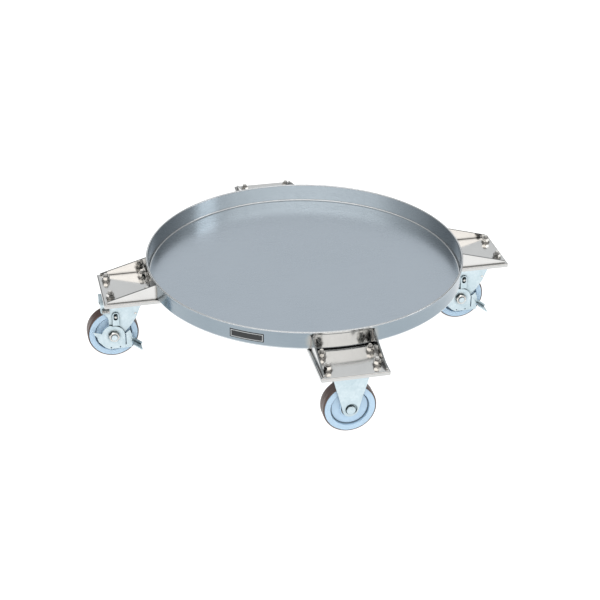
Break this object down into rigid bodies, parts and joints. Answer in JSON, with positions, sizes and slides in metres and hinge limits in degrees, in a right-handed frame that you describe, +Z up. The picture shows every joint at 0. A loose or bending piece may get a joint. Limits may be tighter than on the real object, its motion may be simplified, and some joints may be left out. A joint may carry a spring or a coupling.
{
  "type": "drum dolly",
  "caption": "Low round steel tray on outrigger brackets with rigid casters front and back and braked swivel casters at the sides, for rolling a standing drum.",
  "frame": {"origin": "centre of the tray floor's top face, where the drum stands", "axes": "+Z up; the wheels roll along X; rigid casters at -Y (front) and +Y (back), swivel casters at -X (left) and +X (right)"},
  "size_m": [0.835, 0.804, 0.18],
  "materials": {
    "tray_steel": "cold-rolled stainless sheet, dull mill finish",
    "bracket_steel": "bright stainless sheet",
    "zinc_plate": "bluish zinc plating",
    "bright_steel": "bright turned steel",
    "core_plastic": "light blue-grey nylon",
    "urethane_tread": "dark brown urethane",
    "shoe_rubber": "black rubber",
    "label_black": "blank black label film"
  },
  "bodies": {
    "chassis": {"tray_floor": "tray_steel", "tray_wall": "tray_steel", "label_plate": "label_black", "front_bracket_plate": "bracket_steel", "back_bracket_plate": "bracket_steel", "left_bracket_plate": "bracket_steel", "right_bracket_plate": "bracket_steel", "front_gussets": "bracket_steel", "back_gussets": "bracket_steel", "left_gussets": "bracket_steel", "right_gussets": "bracket_steel", "caster_bolts": "bright_steel", "flat_washers": "bright_steel", "spring_washers": "bright_steel", "caster_nuts": "bright_steel", "front_fork": "zinc_plate", "front_axle": "zinc_plate", "front_axle_nut": "bright_steel", "front_axle_sleeve": "zinc_plate", "back_fork": "zinc_plate", "back_axle": "zinc_plate", "back_axle_nut": "bright_steel", "back_axle_sleeve": "zinc_plate", "left_swivel_plate": "zinc_plate", "left_kingpin": "bright_steel", "right_swivel_plate": "zinc_plate", "right_kingpin": "bright_steel"},
    "front_wheel": {"front_wheel_core": "core_plastic", "front_wheel_tread": "urethane_tread", "front_wheel_bearings": "bright_steel"},
    "back_wheel": {"back_wheel_core": "core_plastic", "back_wheel_tread": "urethane_tread", "back_wheel_bearings": "bright_steel"},
    "left_swivel": {"left_swivel_balls": "bright_steel", "left_fork": "zinc_plate", "left_axle": "zinc_plate", "left_axle_nut": "bright_steel", "left_axle_sleeve": "zinc_plate", "left_lock_spring": "bright_steel", "left_fork_pins": "bright_steel"},
    "right_swivel": {"right_swivel_balls": "bright_steel", "right_fork": "zinc_plate", "right_axle": "zinc_plate", "right_axle_nut": "bright_steel", "right_axle_sleeve": "zinc_plate", "right_lock_spring": "bright_steel", "right_fork_pins": "bright_steel"},
    "left_wheel": {"left_wheel_core": "core_plastic", "left_wheel_tread": "urethane_tread", "left_wheel_bearings": "bright_steel"},
    "right_wheel": {"right_wheel_core": "core_plastic", "right_wheel_tread": "urethane_tread", "right_wheel_bearings": "bright_steel"},
    "left_brake": {"left_brake_lever": "zinc_plate"},
    "right_brake": {"right_brake_lever": "zinc_plate"},
    "left_lock": {"left_lock_slide": "zinc_plate"},
    "right_lock": {"right_lock_slide": "zinc_plate"},
    "left_shoe": {"left_brake_shoe": "shoe_rubber"},
    "right_shoe": {"right_brake_shoe": "shoe_rubber"}
  },
  "joints": [
    {"name": "front_wheel_spin", "type": "hinge", "parent": "chassis", "child": "front_wheel", "pos_m": [0, -0.352, -0.094], "axis": [0, 1, 0], "continuous": true},
    {"name": "back_wheel_spin", "type": "hinge", "parent": "chassis", "child": "back_wheel", "pos_m": [0, 0.352, -0.094], "axis": [0, 1, 0], "continuous": true},
    {"name": "left_swivel_turn", "type": "hinge", "parent": "chassis", "child": "left_swivel", "pos_m": [-0.352, 0, -0.03], "axis": [0, 0, 1], "continuous": true},
    {"name": "left_wheel_spin", "type": "hinge", "parent": "left_swivel", "child": "left_wheel", "pos_m": [-0.383, 0, -0.094], "axis": [0, 1, 0], "continuous": true},
    {"name": "left_brake_press", "type": "hinge", "parent": "left_swivel", "child": "left_brake", "pos_m": [-0.383, 0, -0.094], "axis": [0, 1, 0], "range_deg": [0, 12]},
    {"name": "left_lock_lift", "type": "slide", "parent": "left_swivel", "child": "left_lock", "axis": [0, 0, 1], "range_m": [0, 0.003]},
    {"name": "left_shoe_press", "type": "hinge", "parent": "left_swivel", "child": "left_shoe", "pos_m": [-0.33916, 0, -0.05016], "axis": [0, -1, 0], "range_deg": [0, 2.6]},
    {"name": "right_swivel_turn", "type": "hinge", "parent": "chassis", "child": "right_swivel", "pos_m": [0.352, 0, -0.03], "axis": [0, 0, 1], "continuous": true},
    {"name": "right_wheel_spin", "type": "hinge", "parent": "right_swivel", "child": "right_wheel", "pos_m": [0.321, 0, -0.094], "axis": [0, 1, 0], "continuous": true},
    {"name": "right_brake_press", "type": "hinge", "parent": "right_swivel", "child": "right_brake", "pos_m": [0.321, 0, -0.094], "axis": [0, 1, 0], "range_deg": [0, 12]},
    {"name": "right_lock_lift", "type": "slide", "parent": "right_swivel", "child": "right_lock", "axis": [0, 0, 1], "range_m": [0, 0.003]},
    {"name": "right_shoe_press", "type": "hinge", "parent": "right_swivel", "child": "right_shoe", "pos_m": [0.36484, 0, -0.05016], "axis": [0, -1, 0], "range_deg": [0, 2.6]}
  ],
  "couplings": [
    {"joint": "left_lock_lift", "follows": "left_brake_press", "m_per_rad": 0.014324},
    {"joint": "left_shoe_press", "follows": "left_brake_press", "ratio": 0.21667},
    {"joint": "right_lock_lift", "follows": "right_brake_press", "m_per_rad": 0.014324},
    {"joint": "right_shoe_press", "follows": "right_brake_press", "ratio": 0.21667}
  ]
}
